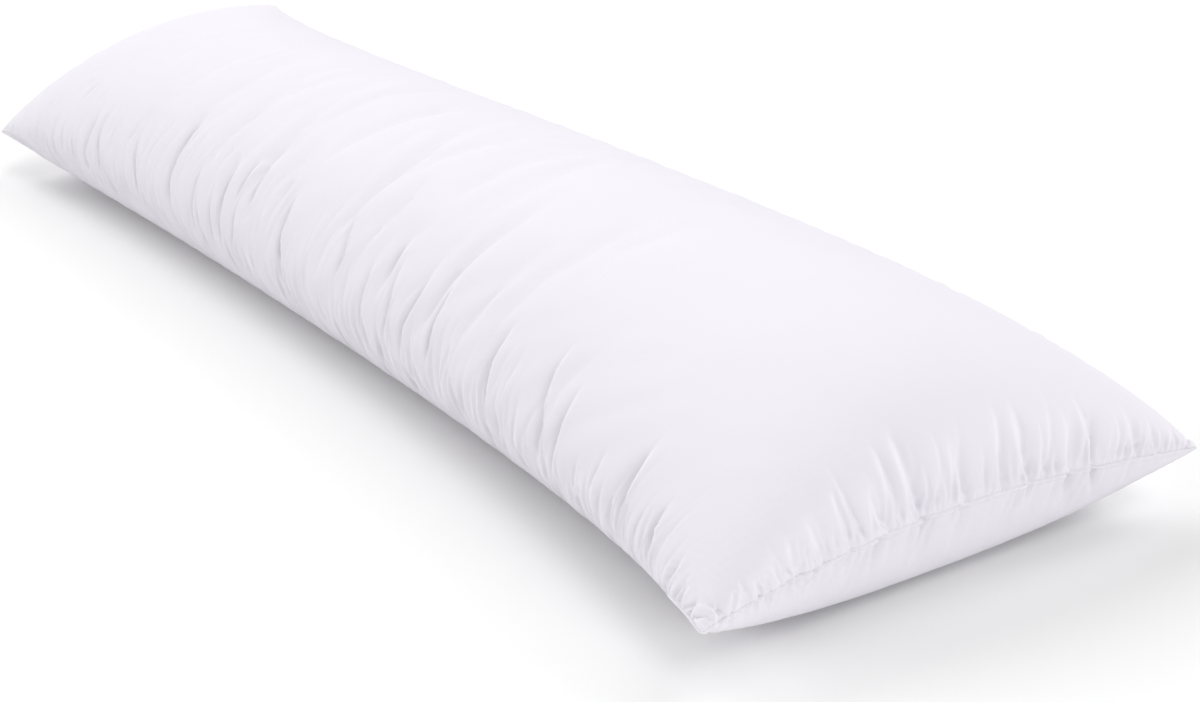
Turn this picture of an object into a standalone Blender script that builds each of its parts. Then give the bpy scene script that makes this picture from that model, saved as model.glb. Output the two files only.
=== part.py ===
"""A body pillow lying on its back: two long cotton panels, sewn together round their edge and filled.

Metres, +Z up. +X runs along the pillow to its near end, +Y points to its right side, and the
origin lies on the surface that carries the pillow, under the middle of its outline.

A place on the surface is given in two ways:
- by "along", -1 at the far end seam to 1 at the near one, and a section angle, which is 0 at the
  right side, a quarter turn at the crown, half a turn at the left side, and passes under from there;
- by its place on the flat panel, in metres: "along" from the middle of the panel's length, and
  "across" from its left seam.
"""

import math
from collections import namedtuple

import bmesh
import bpy
import numpy as np

# The flat cut of each panel, inside its seams.
CUT_LENGTH = 1.37
CUT_WIDTH = 0.51

# The filled pillow. Its sides are drawn in between the corners, and the crown sits on the sides.
HALF_LENGTH_AT_SIDES = 0.6555
HALF_LENGTH_AT_CROWN = 0.6480
END_BOW_POWER = 1.87
HALF_WIDTH_AT_WAIST = 0.1805
CROWN_RISE = 0.1044
UNDERSIDE_DROP = 0.1104
SIDE_HEIGHT = 0.0682
SIDEWAYS_BEND = 0.0200
SECTION_POWER = 1.88
SECTION_ROUNDNESS = 0.5
END_SECTION_ROUNDNESS = 0.564
END_BLUNTNESS_POWER = 5.6
END_ROUNDNESS = 0.33

# How late each change sets in on the way to an end, or to a side for the last: the higher the
# power, the closer to the end it stays.
END_FLARE_POWER = 3.6
END_SECTION_POWER = 1.5
END_SKEW_POWER = 3
END_TILT_POWER = 3
END_SHIFT_POWER = 4
END_LIFT_POWER = 5.9
CORNER_LIFT_POWER = 1.9

# How softly the underside meets the surface that carries it.
FLOOR_BLEND = 0.019

# The sewn edge. Between the corners the cover has rolled to the left, so its left seam lies under
# the side and its right seam above the side. The angles are turns from the widest line.
LEFT_SEAM_ROLL = math.radians(42)
RIGHT_SEAM_ROLL = math.radians(28)
SEAM_GROOVE_DEPTH = 0.004
SEAM_GROOVE_WIDTH = 0.012

# What differs from one end to the other. skew is the lead of the right corner over the left, shift
# a sideways set of the end, and tilt how much thicker the right half is than the left. A run is
# the share of the pillow's half length in which a side seam rolls from the corner to its place
# between the corners.
End = namedtuple(
    "End",
    "half_width skew shift tilt left_height right_height middle_height left_run right_run",
)
NEAR_END = End(
    half_width=0.2124,
    skew=0.0152,
    shift=0.0022,
    tilt=-0.03,
    left_height=0.0459,
    right_height=0.0507,
    middle_height=0.0653,
    left_run=0.22,
    right_run=0.30,
)
FAR_END = End(
    half_width=0.1948,
    skew=0.0428,
    shift=0.0034,
    tilt=0.47,
    left_height=0.0521,
    right_height=0.1311,
    middle_height=0.0839,
    left_run=0.26,
    right_run=0.30,
)

# The main folds that stand off the left seam and run up over the side: where one starts along the
# flat panel, how far it leans by its end, how far across the panel it reaches, and its height.
SideFold = namedtuple("SideFold", "along lean reach height")
SIDE_FOLDS = (
    SideFold(-0.430, -0.010, 0.163, 0.0020),
    SideFold(-0.311, -0.018, 0.153, 0.0020),
    SideFold(-0.233, -0.027, 0.201, 0.0035),
    SideFold(-0.183, -0.013, 0.156, 0.0015),
    SideFold(-0.123, -0.023, 0.172, 0.0030),
    SideFold(-0.073, 0.000, 0.198, 0.0020),
    SideFold(0.000, -0.037, 0.182, 0.0035),
    SideFold(0.096, -0.023, 0.217, 0.0030),
    SideFold(0.164, -0.013, 0.201, 0.0030),
    SideFold(0.210, -0.009, 0.179, 0.0025),
    SideFold(0.251, -0.009, 0.172, 0.0030),
    SideFold(0.342, -0.009, 0.185, 0.0045),
    SideFold(0.416, -0.019, 0.179, 0.0035),
    SideFold(0.438, -0.009, 0.150, 0.0030),
    SideFold(0.530, -0.009, 0.131, 0.0045),
    SideFold(0.589, -0.009, 0.080, 0.0040),
)
SIDE_FOLD_START = 0.05
SIDE_FOLD_FADE = 0.05

# The main gathers that rise from the near end seam and run back over the end: where one starts
# across the flat panel, how far it leans by its end, its length and its height. The same gathers
# go on below the seam for a part of their length.
Gather = namedtuple("Gather", "across lean length height")
NEAR_GATHERS = (
    Gather(0.089, 0.003, 0.045, 0.0030),
    Gather(0.115, -0.007, 0.050, 0.0025),
    Gather(0.140, -0.006, 0.055, 0.0030),
    Gather(0.179, -0.013, 0.055, 0.0030),
    Gather(0.210, -0.006, 0.085, 0.0045),
    Gather(0.255, -0.010, 0.055, 0.0035),
    Gather(0.293, 0.007, 0.070, 0.0030),
    Gather(0.322, -0.010, 0.070, 0.0040),
    Gather(0.367, 0.003, 0.055, 0.0035),
    Gather(0.389, 0.003, 0.055, 0.0030),
    Gather(0.440, -0.013, 0.045, 0.0030),
)
GATHER_START = -0.010
GATHER_FADE = 0.035
UNDER_GATHER_SHARE = 0.5

# A fold is a ridge with a shallower trough along each flank. Within a short way of a corner there
# is no relief, because the two panels lie close together there.
FOLD_HALF_WIDTH = 0.015
CORNER_CALM = 0.11

# How finely the surface is divided. One division of the underside spans two of the top.
ROWS_ALONG = 98
TOP_COLUMNS = 38
UNDER_COLUMNS = TOP_COLUMNS // 2
FINE_STEPS = 600

COTTON_COLOUR = (0.93, 0.92, 0.95, 1.0)
COTTON_ROUGHNESS = 0.85


def smooth_step(value):
    """0 below 0, 1 above 1, and a smooth rise between."""
    value = np.clip(value, 0.0, 1.0)
    return value * value * (3.0 - 2.0 * value)


def by_end(along, field):
    """The near end's value where along is positive, and the far end's elsewhere."""
    return np.where(along > 0.0, getattr(NEAR_END, field), getattr(FAR_END, field))


def rest_on_floor(height):
    """Press heights below zero flat on the floor, with a soft turn up to those above it."""
    pressed = np.clip(height + FLOOR_BLEND, 0.0, 2.0 * FLOOR_BLEND) ** 2 / (4.0 * FLOOR_BLEND)
    return np.where(height > FLOOR_BLEND, height, pressed)


def side_line_height(along, sideways):
    """The height of the widest line, which bends up or down to the corners at the ends."""
    half_left = 0.5 * (1.0 - sideways)
    half_right = 0.5 * (1.0 + sideways)
    near_part = 0.5 * (1.0 + along)
    left = FAR_END.left_height + (NEAR_END.left_height - FAR_END.left_height) * near_part
    right = FAR_END.right_height + (NEAR_END.right_height - FAR_END.right_height) * near_part
    corners = left * half_left + right * half_right
    cornerward = np.abs(sideways) ** CORNER_LIFT_POWER
    end_height = corners * cornerward + by_end(along, "middle_height") * (1.0 - cornerward)
    end_part = np.abs(along) ** END_LIFT_POWER
    return SIDE_HEIGHT * (1.0 - end_part) + end_height * end_part


def surface(along, angle):
    """The points of the filled cover at the given places along and section angles."""
    endward = np.abs(along)
    sideways = np.cos(angle)
    outward = np.abs(sideways)

    flare = (by_end(along, "half_width") - HALF_WIDTH_AT_WAIST) * endward**END_FLARE_POWER
    y = (HALF_WIDTH_AT_WAIST + flare) * sideways - SIDEWAYS_BEND * along**2
    y = y + by_end(along, "shift") * endward**END_SHIFT_POWER

    bow = (HALF_LENGTH_AT_SIDES - HALF_LENGTH_AT_CROWN) * outward**END_BOW_POWER
    skew = by_end(along, "skew") * sideways * endward**END_SKEW_POWER
    x = along * (HALF_LENGTH_AT_CROWN + bow + skew)

    end_section = (END_SECTION_ROUNDNESS - SECTION_ROUNDNESS) * endward**END_SECTION_POWER
    roundness = SECTION_ROUNDNESS + end_section
    fullness = (1.0 - endward**END_BLUNTNESS_POWER) ** END_ROUNDNESS
    thickness = fullness * np.clip(1.0 - outward**SECTION_POWER, 0.0, 1.0) ** roundness
    rise = CROWN_RISE * (1.0 + by_end(along, "tilt") * sideways * endward**END_TILT_POWER)
    upward = np.sin(angle) > 0.0
    height = side_line_height(along, sideways)
    height = height + np.where(upward, rise, -UNDERSIDE_DROP) * thickness
    return np.stack(np.broadcast_arrays(x, y, rest_on_floor(height)), axis=-1)


def even_steps(points, values, count):
    """The values at count + 1 places that lie evenly along the line of points."""
    steps = np.linalg.norm(np.diff(points, axis=0), axis=1)
    distance = np.concatenate(([0.0], np.cumsum(steps)))
    return np.interp(np.linspace(0.0, distance[-1], count + 1), distance, values)


def section_angles(along, columns, on_top):
    """The angles of a panel's points in the section at along, evenly spaced from seam to seam."""
    from_end = 1.0 - abs(along)
    left_seam = math.pi + LEFT_SEAM_ROLL * smooth_step(from_end / by_end(along, "left_run"))
    right_seam = RIGHT_SEAM_ROLL * smooth_step(from_end / by_end(along, "right_run"))
    if not on_top:
        right_seam = right_seam + 2.0 * math.pi
    fine = np.linspace(left_seam, right_seam, FINE_STEPS + 1)
    return even_steps(surface(np.full_like(fine, along), fine), fine, columns)


def panel_points(columns, on_top):
    """A panel's points, as columns that run from the far end seam to the near one."""
    fine = np.sin(np.linspace(-0.5 * math.pi, 0.5 * math.pi, FINE_STEPS + 1))
    sections = np.array([section_angles(along, columns, on_top) for along in fine])
    points = []
    for angles in sections.T:
        places = even_steps(surface(fine, angles), fine, ROWS_ALONG)
        points.append(surface(places, np.interp(places, fine, angles)))
    return points


def fold_shape(distance):
    """The height of a fold of height 1 at a distance from its line: a ridge between two troughs."""
    spread = (distance / FOLD_HALF_WIDTH) ** 2
    return (1.0 - spread) * math.exp(-0.5 * spread)


def run_out(start, end, fade, place):
    """1 between start and end, falling smoothly to 0 over the fade beyond each of them."""
    return float(smooth_step((place - start) / fade + 1.0) * smooth_step((end - place) / fade + 1.0))


def side_fold_height(along, across):
    """How far the folds off the left seam raise a place on the flat top panel."""
    height = 0.0
    for fold in SIDE_FOLDS:
        reached = (across - SIDE_FOLD_START) / (fold.reach - SIDE_FOLD_START)
        line = fold.along + fold.lean * reached
        taper = run_out(SIDE_FOLD_START, fold.reach - SIDE_FOLD_FADE, SIDE_FOLD_FADE, across)
        height += fold.height * taper * fold_shape(along - line)
    return height


def gather_height(along, across, length_share):
    """How far the gathers off the near end seam raise a place on a flat panel."""
    height = 0.0
    from_seam = 0.5 * CUT_LENGTH - along
    for gather in NEAR_GATHERS:
        length = gather.length * length_share
        line = gather.across + gather.lean * from_seam / length
        taper = run_out(GATHER_START, length - GATHER_FADE, GATHER_FADE, from_seam)
        height += gather.height * taper * fold_shape(across - line)
    return height


def groove_depth(along, across):
    """How far the stitches of the nearest seam draw a place on a flat panel in."""
    to_end_seam = 0.5 * CUT_LENGTH - abs(along)
    to_side_seam = min(across, CUT_WIDTH - across)
    nearest = min(to_end_seam, to_side_seam)
    return SEAM_GROOVE_DEPTH * math.exp(-((nearest / SEAM_GROOVE_WIDTH) ** 2))


def relief(along, across, on_top):
    """How far a place on a flat panel stands off the smooth filled form."""
    if on_top:
        folds = side_fold_height(along, across) + gather_height(along, across, 1.0)
    else:
        folds = gather_height(along, across, UNDER_GATHER_SHARE)
    to_corner = math.hypot(0.5 * CUT_LENGTH - abs(along), min(across, CUT_WIDTH - across))
    return (folds - groove_depth(along, across)) * float(smooth_step(to_corner / CORNER_CALM))


def add_panel(shell, columns, on_top):
    """Add a panel's points, and note each one's relief. Returns the rows of points."""
    layer = shell.verts.layers.float["relief"]
    rows = [[] for _ in range(ROWS_ALONG + 1)]
    for column, points in enumerate(panel_points(columns, on_top)):
        across = column / columns * CUT_WIDTH
        for step, point in enumerate(points):
            along = (step / ROWS_ALONG - 0.5) * CUT_LENGTH
            vertex = shell.verts.new(point)
            vertex[layer] = relief(along, across, on_top)
            rows[step].append(vertex)
    return rows


def join_panels(top_rows, under_rows):
    """Let the underside's rows start and end on the top's seams, and share both end seams."""
    joined = []
    for step, (top_row, under_row) in enumerate(zip(top_rows, under_rows)):
        at_end = step in (0, ROWS_ALONG)
        seam_row = top_row[::2] if at_end else [top_row[0], *under_row[1:-1], top_row[-1]]
        joined.append(seam_row)
    return joined


def face_panels(shell, top_rows, under_rows):
    """Fill both panels with faces that point outwards."""
    for step in range(ROWS_ALONG):
        here, ahead = top_rows[step], top_rows[step + 1]
        for column in range(TOP_COLUMNS):
            shell.faces.new((here[column], ahead[column], ahead[column + 1], here[column + 1]))
        here, ahead = under_rows[step], under_rows[step + 1]
        for column in range(UNDER_COLUMNS):
            corners = [here[column], here[column + 1], ahead[column + 1], ahead[column]]
            middle = 2 * column + 1
            if step == 0:
                corners.insert(1, top_rows[0][middle])
            if step == ROWS_ALONG - 1:
                corners.insert(3, top_rows[ROWS_ALONG][middle])
            shell.faces.new(corners)


def part_corner_faces(top_rows):
    """Split each corner's faces from its tip to their inner point, so that no two triangles of the
    panels have the same three points."""
    seams = {*top_rows[0], *top_rows[-1]}
    for row in top_rows:
        seams.update((row[0], row[-1]))
    for row in (top_rows[0], top_rows[-1]):
        for tip in (row[0], row[-1]):
            for face in list(tip.link_faces):
                inner = next(vertex for vertex in face.verts if vertex not in seams)
                bmesh.utils.face_split(face, tip, inner)


def raise_relief(shell):
    """Move each point along the surface's normal by its relief, and none below the floor."""
    layer = shell.verts.layers.float["relief"]
    shell.normal_update()
    moved = [(vertex, vertex.co + vertex.normal * vertex[layer]) for vertex in shell.verts]
    for vertex, place in moved:
        resting = vertex.co.z <= 0.0
        vertex.co = place
        if resting or place.z < 0.0:
            vertex.co.z = 0.0


def centre_outline(shell):
    """Set the middle of the pillow's outline over the origin."""
    places = np.array([vertex.co for vertex in shell.verts])
    middle = 0.5 * (places.min(axis=0) + places.max(axis=0))
    for vertex in shell.verts:
        vertex.co.x -= middle[0]
        vertex.co.y -= middle[1]


def cotton():
    """Plain white cotton."""
    material = bpy.data.materials.new("cotton")
    material.use_nodes = True
    shader = material.node_tree.nodes["Principled BSDF"]
    shader.inputs["Base Color"].default_value = COTTON_COLOUR
    shader.inputs["Roughness"].default_value = COTTON_ROUGHNESS
    shader.inputs["Metallic"].default_value = 0.0
    return material


def make_pillow():
    """The two panels and the filling between them, as one closed solid."""
    shell = bmesh.new()
    shell.verts.layers.float.new("relief")
    top_rows = add_panel(shell, TOP_COLUMNS, True)
    under_rows = join_panels(top_rows, add_panel(shell, UNDER_COLUMNS, False))
    face_panels(shell, top_rows, under_rows)
    part_corner_faces(top_rows)
    spare = [vertex for vertex in shell.verts if not vertex.link_faces]
    bmesh.ops.delete(shell, geom=spare, context="VERTS")
    raise_relief(shell)
    centre_outline(shell)
    bmesh.ops.triangulate(shell, faces=shell.faces, quad_method="SHORT_EDGE")

    mesh = bpy.data.meshes.new("pillow")
    shell.to_mesh(mesh)
    shell.free()
    mesh.shade_smooth()
    mesh.materials.append(cotton())
    pillow = bpy.data.objects.new("pillow", mesh)
    bpy.context.collection.objects.link(pillow)
    return pillow


def main():
    for old in list(bpy.data.objects):
        bpy.data.objects.remove(old, do_unlink=True)
    make_pillow()


main()
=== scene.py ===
"""A body pillow of plain white cotton: two long panels sewn together round their edge and filled.
It lies on its back on a pale floor, under soft studio light.

Metres, +Z up. +X runs along the pillow to its near end, +Y points to its right side, and the floor
is at height 0.

A place on the surface is given in two ways:
- by "along", -1 at the far end seam to 1 at the near one, and a section angle, which is 0 at the
  right side, a quarter turn at the crown, half a turn at the left side, and passes under from there;
- by its place on the flat panel, in metres: "along" from the middle of the panel's length, and
  "across" from its left seam.
"""

import math
from collections import namedtuple

import bpy
import numpy as np
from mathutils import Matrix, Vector, noise


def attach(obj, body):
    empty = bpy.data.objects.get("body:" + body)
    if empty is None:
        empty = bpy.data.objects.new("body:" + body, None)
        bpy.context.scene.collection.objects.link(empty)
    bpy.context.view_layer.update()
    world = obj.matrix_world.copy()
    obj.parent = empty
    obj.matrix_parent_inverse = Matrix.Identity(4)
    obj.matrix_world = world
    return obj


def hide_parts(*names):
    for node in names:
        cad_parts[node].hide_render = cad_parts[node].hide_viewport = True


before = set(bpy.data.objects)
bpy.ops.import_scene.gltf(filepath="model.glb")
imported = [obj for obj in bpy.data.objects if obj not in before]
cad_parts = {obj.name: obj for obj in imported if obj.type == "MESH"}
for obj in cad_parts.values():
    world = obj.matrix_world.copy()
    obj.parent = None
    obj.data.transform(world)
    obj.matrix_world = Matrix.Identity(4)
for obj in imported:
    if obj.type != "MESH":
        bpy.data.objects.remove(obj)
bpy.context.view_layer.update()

# The flat cut of each panel, inside its seams.
CUT_LENGTH = 1.37
CUT_WIDTH = 0.51

# The filled pillow. Its sides are drawn in between the corners, and the crown sits on the sides.
HALF_LENGTH_AT_SIDES = 0.6555
HALF_LENGTH_AT_CROWN = 0.6480
END_BOW_POWER = 1.87
HALF_WIDTH_AT_WAIST = 0.1805
CROWN_RISE = 0.1044
UNDERSIDE_DROP = 0.1104
SIDE_HEIGHT = 0.0682
SIDEWAYS_BEND = 0.0200
SECTION_POWER = 1.88
SECTION_ROUNDNESS = 0.5
END_SECTION_ROUNDNESS = 0.564
END_BLUNTNESS_POWER = 5.6
END_ROUNDNESS = 0.33

# How late each change sets in on the way to an end, or to a side for the last: the higher the
# power, the closer to the end it stays.
END_FLARE_POWER = 3.6
END_SECTION_POWER = 1.5
END_SKEW_POWER = 3
END_TILT_POWER = 3
END_SHIFT_POWER = 4
END_LIFT_POWER = 5.9
CORNER_LIFT_POWER = 1.9

# How softly the underside meets the surface that carries it.
FLOOR_BLEND = 0.019

# Between the corners the cover has rolled to the left, so its left seam lies under the side and
# its right seam above the side. The angles are turns from the widest line.
LEFT_SEAM_ROLL = math.radians(42)
RIGHT_SEAM_ROLL = math.radians(28)

# What differs from one end to the other. skew is the lead of the right corner over the left, shift
# a sideways set of the end, and tilt how much thicker the right half is than the left. A run is
# the share of the pillow's half length in which a side seam rolls from the corner to its place
# between the corners.
End = namedtuple(
    "End",
    "half_width skew shift tilt left_height right_height middle_height left_run right_run",
)
NEAR_END = End(
    half_width=0.2124,
    skew=0.0152,
    shift=0.0022,
    tilt=-0.03,
    left_height=0.0459,
    right_height=0.0507,
    middle_height=0.0653,
    left_run=0.22,
    right_run=0.30,
)
FAR_END = End(
    half_width=0.1948,
    skew=0.0428,
    shift=0.0034,
    tilt=0.47,
    left_height=0.0521,
    right_height=0.1311,
    middle_height=0.0839,
    left_run=0.26,
    right_run=0.30,
)

# How finely each panel is divided before its subdivision. The divisions crowd together beside the
# seams.
ROWS_ALONG = 118
COLUMNS = 48
FINE_STEPS = 1200
END_CROWD_REACH = 0.010
END_CROWDING = 5.0
SIDE_CROWD_REACH = 0.010
SIDE_CROWDING = 4.0


def smooth_step(value):
    """0 below 0, 1 above 1, and a smooth rise between."""
    value = np.clip(value, 0.0, 1.0)
    return value * value * (3.0 - 2.0 * value)


def by_end(along, field):
    """The near end's value where along is positive, and the far end's elsewhere."""
    return np.where(along > 0.0, getattr(NEAR_END, field), getattr(FAR_END, field))


def rest_on_floor(height):
    """Press heights below zero flat on the floor, with a soft turn up to those above it."""
    pressed = np.clip(height + FLOOR_BLEND, 0.0, 2.0 * FLOOR_BLEND) ** 2 / (4.0 * FLOOR_BLEND)
    return np.where(height > FLOOR_BLEND, height, pressed)


def side_line_height(along, sideways):
    """The height of the widest line, which bends up or down to the corners at the ends."""
    half_left = 0.5 * (1.0 - sideways)
    half_right = 0.5 * (1.0 + sideways)
    near_part = 0.5 * (1.0 + along)
    left = FAR_END.left_height + (NEAR_END.left_height - FAR_END.left_height) * near_part
    right = FAR_END.right_height + (NEAR_END.right_height - FAR_END.right_height) * near_part
    corners = left * half_left + right * half_right
    cornerward = np.abs(sideways) ** CORNER_LIFT_POWER
    end_height = corners * cornerward + by_end(along, "middle_height") * (1.0 - cornerward)
    end_part = np.abs(along) ** END_LIFT_POWER
    return SIDE_HEIGHT * (1.0 - end_part) + end_height * end_part


def surface(along, angle):
    """The points of the filled cover at the given places along and section angles."""
    endward = np.abs(along)
    sideways = np.cos(angle)
    outward = np.abs(sideways)

    flare = (by_end(along, "half_width") - HALF_WIDTH_AT_WAIST) * endward**END_FLARE_POWER
    y = (HALF_WIDTH_AT_WAIST + flare) * sideways - SIDEWAYS_BEND * along**2
    y = y + by_end(along, "shift") * endward**END_SHIFT_POWER

    bow = (HALF_LENGTH_AT_SIDES - HALF_LENGTH_AT_CROWN) * outward**END_BOW_POWER
    skew = by_end(along, "skew") * sideways * endward**END_SKEW_POWER
    x = along * (HALF_LENGTH_AT_CROWN + bow + skew)

    end_section = (END_SECTION_ROUNDNESS - SECTION_ROUNDNESS) * endward**END_SECTION_POWER
    roundness = SECTION_ROUNDNESS + end_section
    fullness = (1.0 - endward**END_BLUNTNESS_POWER) ** END_ROUNDNESS
    thickness = fullness * np.clip(1.0 - outward**SECTION_POWER, 0.0, 1.0) ** roundness
    rise = CROWN_RISE * (1.0 + by_end(along, "tilt") * sideways * endward**END_TILT_POWER)
    upward = np.sin(angle) > 0.0
    height = side_line_height(along, sideways)
    height = height + np.where(upward, rise, -UNDERSIDE_DROP) * thickness
    return np.stack(np.broadcast_arrays(x, y, rest_on_floor(height)), axis=-1)


def crowded_places(count, length, reach, crowding):
    """count + 1 places from 0 to length, closer together within reach of both ends."""
    fine = np.linspace(0.0, length, FINE_STEPS + 1)
    to_end = np.minimum(fine, length - fine)
    density = 1.0 + crowding * np.exp(-((to_end / reach) ** 2))
    filled = np.concatenate(([0.0], np.cumsum(0.5 * (density[1:] + density[:-1]))))
    return np.interp(np.linspace(0.0, filled[-1], count + 1), filled, fine)


def values_at(points, values, shares):
    """The values at the given shares of the way along the line of points."""
    steps = np.linalg.norm(np.diff(points, axis=0), axis=1)
    distance = np.concatenate(([0.0], np.cumsum(steps)))
    return np.interp(shares * distance[-1], distance, values)


def section_angles(along, shares, on_top):
    """The angles of a panel's points in the section at along, at shares of the way across it."""
    from_end = 1.0 - abs(along)
    left_seam = math.pi + LEFT_SEAM_ROLL * smooth_step(from_end / by_end(along, "left_run"))
    right_seam = RIGHT_SEAM_ROLL * smooth_step(from_end / by_end(along, "right_run"))
    if not on_top:
        right_seam = right_seam + 2.0 * math.pi
    fine = np.linspace(left_seam, right_seam, FINE_STEPS + 1)
    return values_at(surface(np.full_like(fine, along), fine), fine, shares)


def panel_points(along_shares, across_shares, on_top):
    """A panel's points: a row for each share along it, and a column for each share across it."""
    fine = np.sin(np.linspace(-0.5 * math.pi, 0.5 * math.pi, FINE_STEPS + 1))
    sections = np.array([section_angles(along, across_shares, on_top) for along in fine])
    columns = []
    for angles in sections.T:
        places = values_at(surface(fine, angles), fine, along_shares)
        columns.append(surface(places, np.interp(places, fine, angles)))
    return np.stack(columns, axis=1)


# A fold is a crease with a steep side and a gentle one, and a soft ridge along its steep side. Its
# line runs through three places, each given as the distance from the seam that it leaves and the
# place along that seam. width is how far its gentle side spreads where the fold is widest.
Fold = namedtuple("Fold", "start middle end width height")

# The folds off the left seam that run up over the side, from the far end to the near one.
LEFT_FOLDS = (
    Fold((0.096, -0.434), (0.121, -0.429), (0.163, -0.452), 0.009, 0.0031),
    Fold((0.102, -0.402), (0.134, -0.411), (0.159, -0.411), 0.007, 0.0027),
    Fold((0.105, -0.311), (0.134, -0.324), (0.153, -0.329), 0.007, 0.0034),
    Fold((0.118, -0.233), (0.150, -0.237), (0.205, -0.262), 0.009, 0.0041),
    Fold((0.096, -0.183), (0.128, -0.183), (0.156, -0.196), 0.007, 0.0022),
    Fold((0.092, -0.142), (0.115, -0.146), (0.140, -0.147), 0.006, 0.0016),
    Fold((0.110, -0.120), (0.150, -0.132), (0.185, -0.152), 0.009, 0.0035),
    Fold((0.150, -0.105), (0.172, -0.105), (0.195, -0.099), 0.008, 0.0016),
    Fold((0.131, -0.073), (0.156, -0.082), (0.200, -0.073), 0.009, 0.0016),
    Fold((0.099, 0.000), (0.128, -0.008), (0.175, -0.030), 0.009, 0.0032),
    Fold((0.131, -0.005), (0.153, -0.014), (0.180, -0.021), 0.006, 0.0014),
    Fold((0.134, 0.096), (0.157, 0.083), (0.205, 0.073), 0.009, 0.0023),
    Fold((0.089, 0.142), (0.115, 0.142), (0.166, 0.142), 0.007, 0.0018),
    Fold((0.118, 0.183), (0.134, 0.178), (0.166, 0.169), 0.008, 0.0018),
    Fold((0.150, 0.164), (0.175, 0.155), (0.201, 0.151), 0.008, 0.0014),
    Fold((0.108, 0.210), (0.134, 0.215), (0.179, 0.201), 0.009, 0.0026),
    Fold((0.115, 0.251), (0.134, 0.247), (0.175, 0.242), 0.008, 0.0028),
    Fold((0.083, 0.292), (0.096, 0.288), (0.115, 0.274), 0.006, 0.0014),
    Fold((0.096, 0.342), (0.124, 0.334), (0.168, 0.333), 0.009, 0.0038),
    Fold((0.073, 0.411), (0.092, 0.416), (0.102, 0.411), 0.005, 0.0012),
    Fold((0.105, 0.416), (0.131, 0.402), (0.179, 0.397), 0.009, 0.0026),
    Fold((0.096, 0.438), (0.121, 0.434), (0.152, 0.429), 0.008, 0.0026),
    Fold((0.080, 0.475), (0.092, 0.466), (0.100, 0.457), 0.005, 0.0012),
    Fold((0.099, 0.489), (0.105, 0.489), (0.118, 0.484), 0.005, 0.0012),
    Fold((0.086, 0.530), (0.108, 0.525), (0.135, 0.521), 0.010, 0.0040),
    Fold((0.073, 0.521), (0.086, 0.511), (0.099, 0.502), 0.005, 0.0012),
    Fold((0.045, 0.589), (0.064, 0.580), (0.078, 0.580), 0.007, 0.0030),
    Fold((0.019, 0.630), (0.029, 0.630), (0.040, 0.626), 0.005, 0.0014),
)

# The broad soft folds that lie over the crown, measured from the left seam as well.
CROWN_FOLDS = (
    Fold((0.150, -0.238), (0.175, -0.243), (0.220, -0.251), 0.011, 0.0014),
    Fold((0.255, -0.247), (0.290, -0.251), (0.380, -0.247), 0.016, 0.0014),
    Fold((0.223, -0.178), (0.284, -0.174), (0.427, -0.130), 0.016, 0.0012),
    Fold((0.150, -0.128), (0.170, -0.133), (0.200, -0.136), 0.011, 0.0008),
    Fold((0.195, -0.090), (0.250, -0.108), (0.430, -0.145), 0.015, 0.0018),
    Fold((0.155, -0.081), (0.180, -0.090), (0.220, -0.100), 0.011, 0.0008),
    Fold((0.290, -0.088), (0.335, -0.087), (0.450, -0.055), 0.016, 0.0016),
    Fold((0.165, -0.035), (0.190, -0.047), (0.230, -0.062), 0.011, 0.0009),
    Fold((0.270, -0.020), (0.332, -0.014), (0.470, 0.010), 0.018, 0.0018),
    Fold((0.205, 0.071), (0.260, 0.062), (0.440, 0.040), 0.016, 0.0017),
    Fold((0.195, 0.117), (0.222, 0.108), (0.275, 0.088), 0.013, 0.0013),
    Fold((0.270, 0.083), (0.328, 0.100), (0.450, 0.140), 0.017, 0.0014),
    Fold((0.170, 0.161), (0.192, 0.161), (0.230, 0.167), 0.011, 0.0010),
    Fold((0.270, 0.155), (0.332, 0.155), (0.440, 0.205), 0.017, 0.0014),
    Fold((0.190, 0.236), (0.230, 0.237), (0.330, 0.222), 0.014, 0.0016),
    Fold((0.290, 0.203), (0.341, 0.192), (0.450, 0.192), 0.017, 0.0014),
    Fold((0.180, 0.290), (0.205, 0.288), (0.250, 0.295), 0.012, 0.0011),
    Fold((0.200, 0.318), (0.245, 0.324), (0.400, 0.293), 0.016, 0.0011),
    Fold((0.260, 0.345), (0.300, 0.352), (0.380, 0.366), 0.018, 0.0008),
    Fold((0.134, 0.416), (0.172, 0.420), (0.224, 0.425), 0.015, 0.0005),
)

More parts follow.
